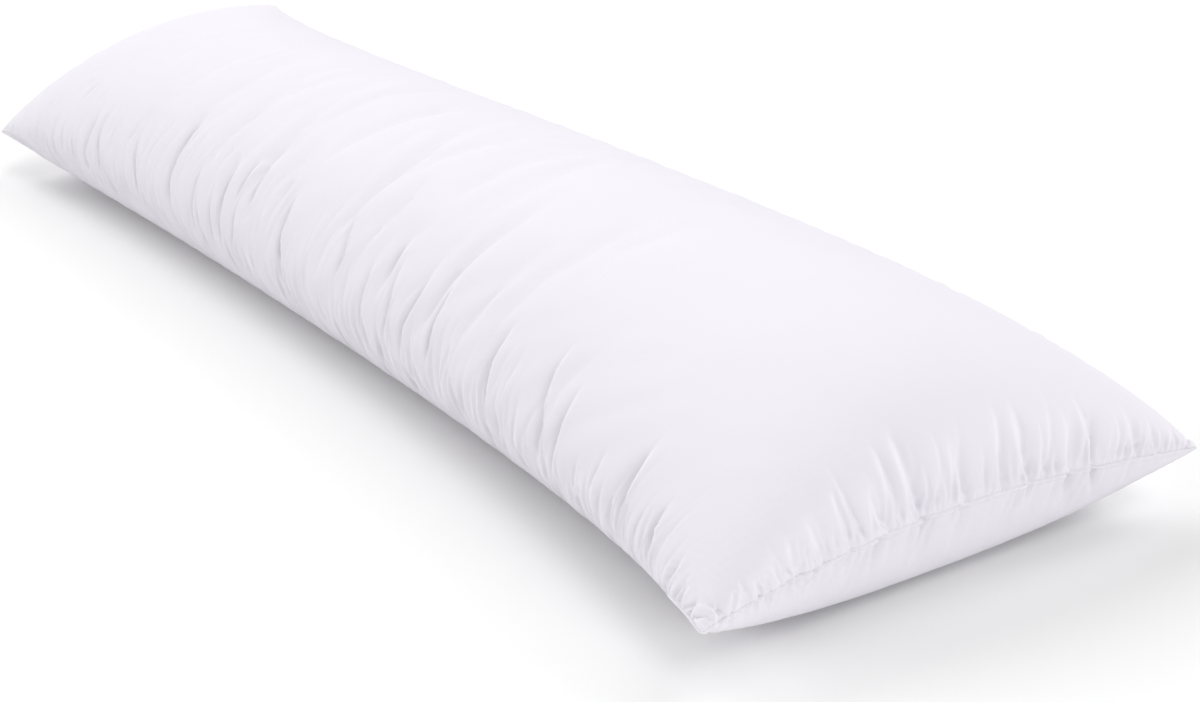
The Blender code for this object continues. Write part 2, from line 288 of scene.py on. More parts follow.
# The gathers off the near end seam that run back over the end, from the left to the right.
NEAR_GATHERS = (
    Fold((0.000, 0.054), (0.006, 0.054), (0.016, 0.054), 0.0043, 0.0016),
    Fold((0.000, 0.089), (0.014, 0.089), (0.034, 0.092), 0.0065, 0.0022),
    Fold((0.004, 0.115), (0.018, 0.112), (0.040, 0.108), 0.0065, 0.0020),
    Fold((0.004, 0.140), (0.027, 0.137), (0.050, 0.134), 0.0065, 0.0022),
    Fold((0.000, 0.179), (0.023, 0.166), (0.041, 0.166), 0.0076, 0.0024),
    Fold((0.022, 0.185), (0.048, 0.182), (0.068, 0.185), 0.0076, 0.0018),
    Fold((0.004, 0.210), (0.037, 0.201), (0.078, 0.205), 0.0097, 0.0038),
    Fold((0.000, 0.255), (0.023, 0.249), (0.050, 0.245), 0.0087, 0.0028),
    Fold((0.000, 0.293), (0.027, 0.290), (0.068, 0.300), 0.0076, 0.0022),
    Fold((0.000, 0.322), (0.027, 0.312), (0.062, 0.312), 0.0087, 0.0032),
    Fold((0.000, 0.338), (0.009, 0.335), (0.026, 0.328), 0.0054, 0.0016),
    Fold((0.000, 0.367), (0.023, 0.363), (0.044, 0.370), 0.0076, 0.0026),
    Fold((0.018, 0.386), (0.037, 0.379), (0.052, 0.376), 0.0065, 0.0018),
    Fold((0.000, 0.389), (0.027, 0.386), (0.044, 0.392), 0.0065, 0.0022),
    Fold((0.000, 0.440), (0.023, 0.430), (0.042, 0.427), 0.0065, 0.0022),
    Fold((0.000, 0.462), (0.018, 0.453), (0.031, 0.456), 0.0054, 0.0016),
)

# The same gathers where they go on below the near end seam.
UNDER_NEAR_GATHERS = (
    Fold((0.005, 0.105), (0.009, 0.099), (0.018, 0.089), 0.006, 0.0012),
    Fold((0.000, 0.140), (0.006, 0.137), (0.020, 0.131), 0.006, 0.0014),
    Fold((0.000, 0.169), (0.014, 0.163), (0.036, 0.156), 0.007, 0.0018),
    Fold((0.000, 0.214), (0.018, 0.208), (0.044, 0.200), 0.009, 0.0022),
    Fold((0.000, 0.249), (0.014, 0.245), (0.034, 0.240), 0.007, 0.0014),
    Fold((0.000, 0.322), (0.009, 0.320), (0.022, 0.314), 0.007, 0.0014),
    Fold((0.005, 0.363), (0.018, 0.363), (0.036, 0.362), 0.008, 0.0018),
    Fold((0.000, 0.389), (0.014, 0.392), (0.030, 0.394), 0.007, 0.0016),
)

# The shape across a crease. steep_side is the side of it, along the seam, that its steep wall is
# on. The wall and the rounding of its edges are shares of the fold's width, and rise is how far
# before its start a fold sets in.
Crease = namedtuple("Crease", "steep_side steep_share rounding_share rise")
SIDE_CREASE = Crease(1, 0.25, 0.12, 0.030)
END_CREASE = Crease(-1, 0.60, 0.28, 0.030)
CROWN_CREASE = Crease(1, 0.80, 0.35, 0.080)

# A fold fades out over this share of its length, and at its start has this share of its width.
FOLD_FADE = 0.90
SEAM_NARROWING = 0.45

# The narrowest steep wall and rounding, the ridge's height and spread as shares of the crease's depth
# and width, and how far along the seam a fold can be felt.
STEEPEST = 0.0013
SHARPEST = 0.0008
RIDGE_SHARE = 0.75
RIDGE_SPREAD = 1.1
FOLD_NEIGHBOURHOOD = 0.09


def bump(distance, half_width):
    """A smooth bump of height 1 across a line."""
    return np.exp(-0.5 * (distance / half_width) ** 2)


def sharp_crease(offset, width, crease):
    """The height across a crease of depth 1. The offset is positive on its steep side."""
    gentle = -np.exp(np.minimum(offset, 0.0) / width)
    up_steep = np.exp(-np.maximum(offset, 0.0) / np.maximum(crease.steep_share * width, STEEPEST))
    down_again = np.exp(-np.maximum(offset, 0.0) / (RIDGE_SPREAD * width))
    ridge = RIDGE_SHARE * (1.0 - up_steep) * down_again
    return np.where(offset < 0.0, gentle, ridge - up_steep)


def crease_height(offset, width, crease):
    """The height across a crease, rounded as much as the cloth rounds it."""
    rounding = np.maximum(crease.rounding_share * width, SHARPEST)
    before = sharp_crease(offset - rounding, width, crease)
    behind = sharp_crease(offset + rounding, width, crease)
    return 0.5 * sharp_crease(offset, width, crease) + 0.25 * (before + behind)


def fold_line(share, fold):
    """The place along the seam of a fold's line, at shares of its way from start to end."""
    (start, line_start), (middle, line_middle), (end, line_end) = fold.start, fold.middle, fold.end
    before = (middle - start) / (end - start)
    after = 1.0 - before
    pull = (line_middle - after**2 * line_start - before**2 * line_end) / (2.0 * before * after)
    rest = 1.0 - share
    return rest**2 * line_start + 2.0 * share * rest * pull + share**2 * line_end


def fold_height(from_seam, beside, fold, crease):
    """How far a fold raises places at a distance from its seam and a place along it."""
    start, end = fold.start[0], fold.end[0]
    share = (from_seam - start) / (end - start)
    on_fold = np.clip(share, 0.0, 1.0)
    width = fold.width * (SEAM_NARROWING + (1.0 - SEAM_NARROWING) * on_fold)
    offset = crease.steep_side * (beside - fold_line(on_fold, fold))
    fade = smooth_step((1.0 - share) / FOLD_FADE) * smooth_step(1.0 + (from_seam - start) / crease.rise)
    return fold.height * crease_height(offset, width, crease) * fade


def gathers_height(from_seam, beside, folds, crease):
    """How far all of a seam's folds raise places at a distance from it and a place along it."""
    height = np.zeros_like(from_seam)
    for fold in folds:
        near = np.abs(beside - fold.middle[1]) < FOLD_NEIGHBOURHOOD
        height[near] += fold_height(from_seam[near], beside[near], fold, crease)
    return height


# Small wrinkles that lie beside a seam. spacing is how far apart they are along it. The rest are
# ranges, from which each wrinkle is drawn: start is how far from the seam it begins, slope how far it
# leans along the seam for its length, and width and height are as in a fold.
Wrinkling = namedtuple("Wrinkling", "spacing start length slope width height")

# On the top, off the left seam: close gathers on its side, short wrinkles above them, longer ones
# towards the far end, and broad soft ones over the crown.
LEFT_GATHERS = Wrinkling(
    0.0050, (0.035, 0.08), (0.03, 0.075), (-0.30, 0.25), (0.0014, 0.0030), (0.0012, 0.0030)
)
LEFT_WRINKLES = Wrinkling(
    0.008, (0.07, 0.14), (0.020, 0.050), (-0.60, 0.40), (0.0020, 0.0055), (0.0004, 0.0014)
)
FAR_LEFT_WRINKLES = Wrinkling(
    0.010, (0.12, 0.22), (0.05, 0.12), (-0.45, 0.20), (0.0035, 0.0080), (0.0005, 0.0016)
)
CROWN_WRINKLES = Wrinkling(
    0.020, (0.17, 0.34), (0.07, 0.16), (-0.35, 0.15), (0.0070, 0.0140), (0.0010, 0.0032)
)

# On the top, off the right seam and the two end seams. The near end has short ones between its
# longer ones.
RIGHT_GATHERS = Wrinkling(
    0.012, (0.00, 0.05), (0.05, 0.15), (-0.10, 0.30), (0.0035, 0.0080), (0.0014, 0.0042)
)
NEAR_SMALL = Wrinkling(
    0.0075, (0.00, 0.00), (0.020, 0.070), (-0.25, 0.25), (0.0026, 0.0060), (0.0017, 0.0042)
)
NEAR_SHORT = Wrinkling(
    0.0075, (0.00, 0.00), (0.008, 0.022), (-0.30, 0.30), (0.0022, 0.0040), (0.0018, 0.0042)
)
FAR_SMALL = Wrinkling(
    0.011, (0.00, 0.00), (0.03, 0.11), (-0.20, 0.20), (0.0035, 0.0080), (0.0012, 0.0032)
)

# On the underside, off the left seam, off the right and the far end seam, and off the near one.
UNDER_LEFT = Wrinkling(
    0.009, (0.00, 0.00), (0.02, 0.06), (-0.20, 0.20), (0.0030, 0.0050), (0.0003, 0.0008)
)
UNDER_SIDES = Wrinkling(
    0.011, (0.00, 0.00), (0.02, 0.07), (-0.20, 0.20), (0.0030, 0.0060), (0.0005, 0.0012)
)
UNDER_NEAR = Wrinkling(
    0.014, (0.00, 0.006), (0.025, 0.055), (-0.55, -0.25), (0.0040, 0.0075), (0.0018, 0.0046)
)

# Where the seams turn a corner, on both sides of it.
CORNER_GATHERS = Wrinkling(
    0.0068, (0.001, 0.003), (0.012, 0.024), (-0.60, 0.60), (0.0018, 0.0036), (0.0021, 0.0042)
)

# Where along the pillow the wrinkles over the left side and the crown end.
LEFT_WRINKLES_END = 0.50
FAR_LEFT_WRINKLES_END = 0.10
CROWN_WRINKLES_END = 0.33

# How much a wrinkle's middle bends aside for its length, how uneven their spacing is, and the number
# that starts their draws.
WRINKLE_BEND = 0.12
SPACING_UNEVENNESS = 0.5
WRINKLE_SEED = 7

# How far from a corner its own gathers reach along each seam.
CORNER_GATHERED = 0.105

# Within this distance of a corner the small wrinkles get shorter and lower, down to this share of
# their height.
CORNER_SHORTENING = 0.15
LEAST_HEIGHT = 0.35


def small_wrinkles(wrinkling, seam_start, seam_end, draw):
    """Small wrinkles at uneven places from one end of a seam to the other."""
    folds = []
    beside = seam_start + wrinkling.spacing
    while beside < seam_end - wrinkling.spacing:
        short = 1.0
        if seam_end - seam_start > 2.0 * CORNER_SHORTENING:
            short = min(1.0, min(beside - seam_start, seam_end - beside) / CORNER_SHORTENING)
        start = draw.uniform(*wrinkling.start) * short
        length = draw.uniform(*wrinkling.length) * short
        lean = draw.uniform(*wrinkling.slope) * length
        bend = draw.uniform(-WRINKLE_BEND, WRINKLE_BEND) * length
        middle = (start + 0.5 * length, beside + 0.5 * lean + bend)
        end = (start + length, beside + lean)
        width = draw.uniform(*wrinkling.width)
        height = draw.uniform(*wrinkling.height) * max(short, LEAST_HEIGHT)
        folds.append(Fold((start, beside), middle, end, width, height))
        beside += wrinkling.spacing * draw.uniform(1.0 - SPACING_UNEVENNESS, 1.0 + SPACING_UNEVENNESS)
    return folds


# The seam is a narrow groove, and beside it on the underside runs the rim of the cloth turned in.
SEAM_DEPTH = 0.0010
SEAM_WIDTH = 0.0005
RIM_HEIGHT = 0.0006
RIM_SET = 0.0013
RIM_WIDTH = 0.0005

# How much the stitches hold the folds and the small wrinkles flat at a seam, and how far from it.
FOLDS_HOLD = 0.42
SMALL_HOLD = 0.80
SEAM_HOLD_REACH = 0.004


def seam_profile(from_seam, panel):
    """How far places at a distance from the nearest seam lie off the smooth cover."""
    groove = np.exp(-np.abs(from_seam) / SEAM_WIDTH)
    rim = bump(np.abs(from_seam) - RIM_SET, RIM_WIDTH) * (panel < 0.0)
    return RIM_HEIGHT * rim - SEAM_DEPTH * groove


# How far from a corner all folds fade out, and how wide the line is where the gathers of its two
# seams meet.
CORNER_CALM = 0.013
CORNER_MITRE = 0.006

# How many times its height in the tables each kind of fold stands up.
LEFT_STRENGTH = 1.95
CROWN_STRENGTH = 3.3
NEAR_STRENGTH = 2.3
UNDER_STRENGTH = 4.4

# A stretch of a seam: how far each place is from the seam, its place along it, where the stretch
# starts and ends, and the shape of its folds.
Stretch = namedtuple("Stretch", "from_seam beside start end crease")


def stretch_height(stretch, wrinkling, draw):
    """How far small wrinkles along a stretch of a seam raise each place."""
    wrinkles = small_wrinkles(wrinkling, stretch.start, stretch.end, draw)
    return gathers_height(stretch.from_seam, stretch.beside, wrinkles, stretch.crease)


def relief(along, across, panel):
    """How far each place stands off the smooth cover, with its folds, gathers and seams."""
    half_length = 0.5 * CUT_LENGTH
    from_near = half_length - along
    from_far = half_length + along
    from_right = CUT_WIDTH - across
    to_side = np.minimum(across, from_right)
    to_end = np.minimum(from_near, from_far)

    top = LEFT_STRENGTH * gathers_height(across, along, LEFT_FOLDS, SIDE_CREASE)
    top += CROWN_STRENGTH * gathers_height(across, along, CROWN_FOLDS, CROWN_CREASE)
    top += NEAR_STRENGTH * gathers_height(from_near, across, NEAR_GATHERS, END_CREASE)
    under = UNDER_STRENGTH * gathers_height(from_near, across, UNDER_NEAR_GATHERS, END_CREASE)

    small_top, small_under = np.zeros_like(along), np.zeros_like(along)
    left = Stretch(across, along, -half_length, half_length, SIDE_CREASE)
    right = left._replace(from_seam=from_right)
    near = Stretch(from_near, across, 0.0, CUT_WIDTH, END_CREASE)
    far = near._replace(from_seam=from_far)
    over_crown = left._replace(end=CROWN_WRINKLES_END, crease=CROWN_CREASE)
    draw = np.random.default_rng(WRINKLE_SEED)
    for height, stretch, wrinkling in (
        (small_top, left, LEFT_GATHERS),
        (small_top, left._replace(end=LEFT_WRINKLES_END), LEFT_WRINKLES),
        (small_top, left._replace(end=FAR_LEFT_WRINKLES_END), FAR_LEFT_WRINKLES),
        (small_top, right, RIGHT_GATHERS),
        (small_top, near, NEAR_SMALL),
        (small_top, near, NEAR_SHORT),
        (small_top, far, FAR_SMALL),
        (small_top, over_crown, CROWN_WRINKLES),
        (small_under, left, UNDER_LEFT),
        (small_under, right, UNDER_SIDES),
        (small_under, near, UNDER_NEAR),
        (small_under, far, UNDER_SIDES),
    ):
        height += stretch_height(stretch, wrinkling, draw)

    near_left_corner = near._replace(end=CORNER_GATHERED)
    for height, stretch in (
        (top, left._replace(start=half_length - CORNER_GATHERED)),
        (top, left._replace(end=CORNER_GATHERED - half_length)),
        (top, right._replace(start=half_length - CORNER_GATHERED)),
        (top, near_left_corner),
        (top, near._replace(start=CUT_WIDTH - CORNER_GATHERED)),
        (under, near_left_corner),
    ):
        from_mitre = to_side + to_end - 2.0 * stretch.from_seam
        mitre = smooth_step(0.5 + 0.5 * from_mitre / CORNER_MITRE)
        height += mitre * stretch_height(stretch, CORNER_GATHERS, draw)

    to_seam = np.minimum(to_side, to_end)
    by_seam = np.exp(-((to_seam / SEAM_HOLD_REACH) ** 2))
    top = top * (1.0 - FOLDS_HOLD * by_seam) + small_top * (1.0 - SMALL_HOLD * by_seam)
    under = under * (1.0 - FOLDS_HOLD * by_seam) + small_under * (1.0 - SMALL_HOLD * by_seam)
    folds = np.where(panel > 0.0, top, np.where(panel < 0.0, under, 0.5 * (top + under)))
    calm = smooth_step(np.hypot(to_side, to_end) / CORNER_CALM)
    return folds * calm + seam_profile(to_seam, panel)


def write_values(mesh, name, values):
    """Note a value on each of a mesh's points."""
    attribute = mesh.attributes.new(name, "FLOAT", "POINT")
    attribute.data.foreach_set("value", values.astype(np.float32))


def point_values(mesh, name):
    """A point attribute's values as an array."""
    values = np.zeros(len(mesh.vertices), np.float32)
    mesh.attributes[name].data.foreach_get("value", values)
    return values.astype(float)


def point_places(mesh):
    """The places of a mesh's points as an array."""
    places = np.zeros(3 * len(mesh.vertices), np.float32)
    mesh.vertices.foreach_get("co", places)
    return places.reshape(-1, 3).astype(float)


def point_normals(mesh):
    """The directions in which a mesh's points face as an array."""
    normals = np.zeros(3 * len(mesh.vertices), np.float32)
    mesh.vertex_normals.foreach_get("vector", normals)
    return normals.reshape(-1, 3)


def move_points(mesh, places):
    """Put a mesh's points at the given places."""
    mesh.vertices.foreach_set("co", places.astype(np.float32).ravel())
    mesh.update()


# How far the finest gathers, which are in the cloth's finish, reach from each seam.
LEFT_FINE_REACH = 0.055
RIGHT_FINE_REACH = 0.070
END_FINE_REACH = 0.028


def mark_fine_gathers(mesh):
    """Note on each point how strong the finest gathers are that run from the sides and the ends."""
    along, across = point_values(mesh, "along"), point_values(mesh, "across")
    to_end = 0.5 * CUT_LENGTH - np.abs(along)
    from_ends = np.exp(-((to_end / END_FINE_REACH) ** 2))
    from_left = np.exp(-((across / LEFT_FINE_REACH) ** 2))
    from_right = np.exp(-(((CUT_WIDTH - across) / RIGHT_FINE_REACH) ** 2))
    from_sides = np.maximum(from_left, from_right) * (1.0 - from_ends)
    write_values(mesh, "side_gathers", from_sides)
    write_values(mesh, "end_gathers", from_ends)


def panel_mesh():
    """The smooth filled cover as a closed mesh, with each point's place on the flat panels."""
    along = crowded_places(ROWS_ALONG, CUT_LENGTH, END_CROWD_REACH, END_CROWDING)
    across = crowded_places(COLUMNS, CUT_WIDTH, SIDE_CROWD_REACH, SIDE_CROWDING)
    top = panel_points(along / CUT_LENGTH, across / CUT_WIDTH, True)
    under = panel_points(along / CUT_LENGTH, across / CUT_WIDTH, False)
    rows, columns = top.shape[:2]

    top_index = np.arange(rows * columns).reshape(rows, columns)
    under_index = top_index.copy()
    inner = under_index[1:-1, 1:-1]
    inner[:] = rows * columns + np.arange(inner.size).reshape(inner.shape)
    points = np.concatenate((top.reshape(-1, 3), under[1:-1, 1:-1].reshape(-1, 3)))
    middle = 0.5 * (points.min(axis=0) + points.max(axis=0))
    points[:, :2] -= middle[:2]

    faces = []
    for here, ahead in zip(top_index[:-1].tolist(), top_index[1:].tolist()):
        faces += zip(here[:-1], ahead[:-1], ahead[1:], here[1:])
    top_faces = len(faces)
    for here, ahead in zip(under_index[:-1].tolist(), under_index[1:].tolist()):
        faces += zip(here[:-1], here[1:], ahead[1:], ahead[:-1])

    mesh = bpy.data.meshes.new("pillow_cover")
    mesh.from_pydata(points.tolist(), [], faces)
    flat_along, flat_across = np.meshgrid(along - 0.5 * CUT_LENGTH, across, indexing="ij")
    places = {
        "along": (flat_along, flat_along[1:-1, 1:-1]),
        "across": (flat_across, flat_across[1:-1, 1:-1]),
    }
    for name, (on_top, beneath) in places.items():
        write_values(mesh, name, np.concatenate((on_top.ravel(), beneath.ravel())))
    panel = np.full(top.shape[:2], 1.0)
    panel[[0, -1], :] = 0.0
    panel[:, [0, -1]] = 0.0
    write_values(mesh, "panel", np.concatenate((panel.ravel(), np.full(inner.size, -1.0))))
    return mesh, top_faces


# Each panel's place in the UV map: both lie along U, the underside above the top.
UV_MARGIN = 0.01
UV_SCALE = (1.0 - 2.0 * UV_MARGIN) / CUT_LENGTH
UNDER_UV_SHIFT = 0.5


def lay_out_uv(mesh, top_faces):
    """Give the cover a UV map that is its flat panels, to one scale."""
    corner_points = np.zeros(len(mesh.loops), np.int32)
    mesh.loops.foreach_get("vertex_index", corner_points)
    first_under = mesh.polygons[top_faces].loop_start
    uv = np.empty((len(mesh.loops), 2))
    uv[:, 0] = UV_MARGIN + (point_values(mesh, "along")[corner_points] + 0.5 * CUT_LENGTH) * UV_SCALE
    uv[:, 1] = UV_MARGIN + point_values(mesh, "across")[corner_points] * UV_SCALE
    uv[first_under:, 1] += UNDER_UV_SHIFT
    layer = mesh.uv_layers.new(name="panels")
    layer.uv.foreach_set("vector", uv.astype(np.float32).ravel())


def select_only(piece):
    """Make a piece the only selected one, and the active one."""
    bpy.ops.object.select_all(action="DESELECT")
    piece.select_set(True)
    bpy.context.view_layer.objects.active = piece


def raise_relief(mesh):
    """Move the cover's points along its normals by their relief, and none below the floor."""
    places = point_places(mesh)
    height = relief(*(point_values(mesh, name) for name in ("along", "across", "panel")))
    moved = places + point_normals(mesh) * height[:, None]
    moved[:, 2] = np.where(places[:, 2] <= 0.0, 0.0, np.maximum(moved[:, 2], 0.0))
    move_points(mesh, moved)


# How the cover's cloth settles on its filling. It is cut longer and wider than the filled form is
# in places, and wrinkles there. The filling holds each point near its place like a spring, firmer in
# some places than in others, and holds the seams and the resting underside entirely.
SETTLED_LENGTH = 1.39
SETTLED_WIDTH = 0.45
FILLING_HOLD = 0.85
FILLING_LUMPS = 0.15
FILLING_LUMP_SIZE = 0.08
LARGEST_HOLD = 0.97
UNEVENNESS = 0.0008
UNEVENNESS_SIZE = 0.02
CLOTH_STRETCH = 60.0
CLOTH_SHEAR = 8.0
CLOTH_BEND = 100.0
CLOTH_DAMPING = 4.0
CLOTH_MASS = 0.005
CLOTH_PRESSURE = 4.0
CLOTH_STEPS = 5

# The filling draws the spare cloth in by the first of these frames, and it settles until the second.
GATHERED_FRAME = 12
LAST_FRAME = 24

# How far apart in the noise the two panels are.
PANELS_APART = 5.3

# How much of its wrinkles the cover keeps, how far a point may move, and how far from each end and
# from the sides the wrinkles reach their full height.
WRINKLE_SHARE = 0.6
LARGEST_MOVE = 0.006
CALM_NEAR_END = 0.16
CALM_FAR_END = 0.30
CALM_AT_SIDES = 0.09


def let_out(mesh):
    """The cover's points with its spare cloth let out, longer and wider than the filled form."""
    places = point_places(mesh)
    along, across = point_values(mesh, "along"), point_values(mesh, "across")
    panel = point_values(mesh, "panel")
    wide = places.copy()
    for one_panel in (panel >= 0.0, panel <= 0.0):
        for column in np.unique(across[one_panel]):
            line = np.flatnonzero(one_panel & (across == column))
            line = line[np.argsort(along[line])]
            length = np.linalg.norm(np.diff(places[line], axis=0), axis=1).sum()
            spare = max(0.0, SETTLED_LENGTH - length)
            wide[line, 0] = places[line, 0] + 0.5 * spare * np.sin(math.pi * along[line] / CUT_LENGTH)
        for row in np.unique(along[one_panel]):
            line = np.flatnonzero(one_panel & (along == row))
            line = line[np.argsort(across[line])]
            width = np.linalg.norm(np.diff(places[line], axis=0), axis=1).sum()
            wide[line, 1:] = places[line, 1:] * max(1.0, SETTLED_WIDTH / width)
    return wide


def unevenness(along, across, panel, size):
    """A smooth unevenness between about -1 and 1, with lumps of the given size."""
    places = zip(along / size, across / size, PANELS_APART * panel)
    return np.array([noise.noise(place) for place in places])


def settle_cover(cover):
    """Let the cover's cloth settle on its filling, and keep a share of the wrinkles that it makes."""
    mesh = cover.data
    form = point_places(mesh)
    along, across, panel = (point_values(mesh, name) for name in ("along", "across", "panel"))
    held = (form[:, 2] <= 0.0) | (panel == 0.0)
    normals = point_normals(mesh).astype(float)
    uneven = UNEVENNESS * unevenness(along, across, panel, UNEVENNESS_SIZE) * ~held
    start = form + normals * uneven[:, None]
    move_points(mesh, let_out(mesh) + normals * uneven[:, None])

    cover.shape_key_add(name="let_out")
    gathered = cover.shape_key_add(name="gathered")
    gathered.data.foreach_set("co", start.astype(np.float32).ravel())
    gathered.value = 0.0
    gathered.keyframe_insert("value", frame=1)
    gathered.value = 1.0
    gathered.keyframe_insert("value", frame=GATHERED_FRAME)

    hold = FILLING_HOLD + FILLING_LUMPS * unevenness(along, across, panel, FILLING_LUMP_SIZE)
    hold = np.where(held, 1.0, np.minimum(hold, LARGEST_HOLD))
    filling = cover.vertex_groups.new(name="filling")
    for index, weight in enumerate(hold.tolist()):
        filling.add([index], weight, "REPLACE")

    settings = cover.modifiers.new("cloth", "CLOTH").settings
    settings.quality = CLOTH_STEPS
    settings.mass = CLOTH_MASS
    settings.tension_stiffness = settings.compression_stiffness = CLOTH_STRETCH
    settings.shear_stiffness = CLOTH_SHEAR
    settings.bending_stiffness = CLOTH_BEND
    settings.tension_damping = settings.compression_damping = settings.shear_damping = CLOTH_DAMPING
    settings.use_pressure = True
    settings.uniform_pressure_force = CLOTH_PRESSURE
    settings.effector_weights.gravity = 0.0
    settings.vertex_group_mass = filling.name
    settings.pin_stiffness = 1.0
    scene = bpy.context.scene
    for frame_number in range(1, LAST_FRAME + 1):
        scene.frame_set(frame_number)

    settled = cover.evaluated_get(bpy.context.evaluated_depsgraph_get())
    raised = ((point_places(settled.to_mesh()) - start) * normals).sum(axis=1)
    settled.to_mesh_clear()
    cover.modifiers.clear()
    mesh.shape_keys.animation_data_clear()
    cover.shape_key_clear()
    cover.vertex_groups.clear()
    scene.frame_set(1)

    calm = smooth_step((0.5 * CUT_LENGTH - along) / CALM_NEAR_END)
    calm = calm * smooth_step((0.5 * CUT_LENGTH + along) / CALM_FAR_END)
    calm = calm * smooth_step(np.minimum(across, CUT_WIDTH - across) / CALM_AT_SIDES)
    raised = LARGEST_MOVE * np.tanh(WRINKLE_SHARE * calm * raised / LARGEST_MOVE)
    places = form + normals * raised[:, None]
    places[:, 2] = np.where(held, form[:, 2], np.maximum(places[:, 2], 0.0))
    move_points(mesh, places)


# Where the cover is divided once more for its folds, each with the distances from its seams and the
# cuts across each step: beside the left seam on the top, along the pillow; beside the near end seam,
# across it; and in the first steps off that seam, along the pillow. Panel 1 is the top, 0 is both.
Dividing = namedtuple("Dividing", "panel from_left from_near lengthwise cuts")
DIVIDINGS = (
    Dividing(1, 0.175, CUT_LENGTH, True, 3),
    Dividing(0, CUT_WIDTH, 0.065, False, 4),
    Dividing(0, CUT_WIDTH, 0.002, True, 2),
)


def divide_steps(cover, dividing):
    """Cut the steps along or across the cover within the given distances of its seams."""
    mesh = cover.data
    ends = np.zeros(2 * len(mesh.edges), np.int32)
    mesh.edges.foreach_get("vertices", ends)
    ends = ends.reshape(-1, 2)
    along, across, panel = (point_values(mesh, name)[ends] for name in ("along", "across", "panel"))
    lengthwise = np.abs(along[:, 1] - along[:, 0]) > np.abs(across[:, 1] - across[:, 0])
    on_panel = (panel * dividing.panel >= 0.0).all(axis=1)
    near = 0.5 * CUT_LENGTH - along.mean(axis=1) < dividing.from_near
    chosen = on_panel & near & (across.mean(axis=1) < dividing.from_left)
    select_only(cover)
    bpy.ops.object.mode_set(mode="EDIT")
    bpy.ops.mesh.select_mode(type="EDGE")
    bpy.ops.mesh.select_all(action="DESELECT")
    bpy.ops.object.mode_set(mode="OBJECT")
    mesh.edges.foreach_set("select", chosen & (lengthwise == dividing.lengthwise))
    bpy.ops.object.mode_set(mode="EDIT")
    bpy.ops.mesh.subdivide(number_cuts=dividing.cuts)
    bpy.ops.mesh.select_all(action="DESELECT")
    bpy.ops.object.mode_set(mode="OBJECT")


def make_cover():
    """The filled cover, with its folds."""
    mesh, top_faces = panel_mesh()
    lay_out_uv(mesh, top_faces)
    cover = bpy.data.objects.new("pillow_cover", mesh)
    bpy.context.scene.collection.objects.link(cover)
    settle_cover(cover)
    select_only(cover)
    division = cover.modifiers.new("division", "SUBSURF")
    division.levels = division.render_levels = 1
    bpy.ops.object.modifier_apply(modifier=division.name)
    for dividing in DIVIDINGS:
        divide_steps(cover, dividing)
    raise_relief(cover.data)
    mark_fine_gathers(cover.data)
    bpy.ops.object.shade_smooth()
    cover.data.materials.append(cotton())
    return cover


# The cotton's finish. Each layer of it stands up by its height, in millimetres, and its marks are
# as long along the pillow and across it as its size says, in metres.
Layer = namedtuple("Layer", "size detail distortion height")
SIDE_GATHERS = Layer((0.0110, 0.0450), 0.0, 1.2, 0.10)
END_GATHERS = Layer((0.0400, 0.0090), 0.0, 1.2, 0.10)
CRINKLE = Layer((0.0160, 0.0160), 2.0, 0.6, 0.20)
WARP_THREADS = Layer((0.0015, 0.0004), 0.0, 0.0, 0.004)
WEFT_THREADS = Layer((0.0004, 0.0015), 0.0, 0.0, 0.004)
SHADES = Layer((0.0800, 0.0800), 1.0, 0.0, 0.0)
MILLIMETRE = 0.001

# The share of a noise's range, either side of its middle, that makes a crease.
CREASE_SHARE = 0.16

# The cotton's white, which varies a little between two shades, each with its place in the noise.
COTTON_SHADES = ((0.3, (0.771, 0.7565, 0.803, 1.0)), (0.7, (0.779, 0.7545, 0.808, 1.0)))
COTTON_ROUGHNESS = 0.85
COTTON_GLOSS = 0.2


def join_nodes(tree, operation, first, second):
    """A Math node's result for two values, each a socket or a number."""
    node = tree.nodes.new("ShaderNodeMath")
    node.operation = operation
    for socket, value in zip(node.inputs, (first, second)):
        if isinstance(value, float):
            socket.default_value = value
        else:
            tree.links.new(value, socket)
    return node.outputs["Value"]


def pattern(tree, layer):
    """A layer's noise on the flat panels, between 0 and 1."""
    place = tree.nodes.new("ShaderNodeUVMap")
    place.uv_map = "panels"
    stretch = tree.nodes.new("ShaderNodeMapping")
    stretch.inputs["Scale"].default_value = (
        1.0 / (UV_SCALE * layer.size[0]),
        1.0 / (UV_SCALE * layer.size[1]),
        1.0,
    )
    noise_texture = tree.nodes.new("ShaderNodeTexNoise")
    noise_texture.inputs["Scale"].default_value = 1.0
    noise_texture.inputs["Detail"].default_value = layer.detail
    noise_texture.inputs["Distortion"].default_value = layer.distortion
    tree.links.new(place.outputs["UV"], stretch.inputs["Vector"])
    tree.links.new(stretch.outputs["Vector"], noise_texture.inputs["Vector"])
    return noise_texture.outputs["Fac"]


def gathers(tree, layer, strength_name):
    """A layer's noise as sharp thin creases, as strong as the named attribute says."""
    strength = tree.nodes.new("ShaderNodeAttribute")
    strength.attribute_name = strength_name
    off_middle = join_nodes(tree, "SUBTRACT", pattern(tree, layer), 0.5)
    creases = join_nodes(tree, "ABSOLUTE", off_middle, 0.0)
    creases = join_nodes(tree, "MULTIPLY", creases, 1.0 / CREASE_SHARE)
    creases = join_nodes(tree, "MINIMUM", creases, 1.0)
    creases = join_nodes(tree, "MULTIPLY", creases, strength.outputs["Fac"])
    return join_nodes(tree, "MULTIPLY", creases, layer.height)


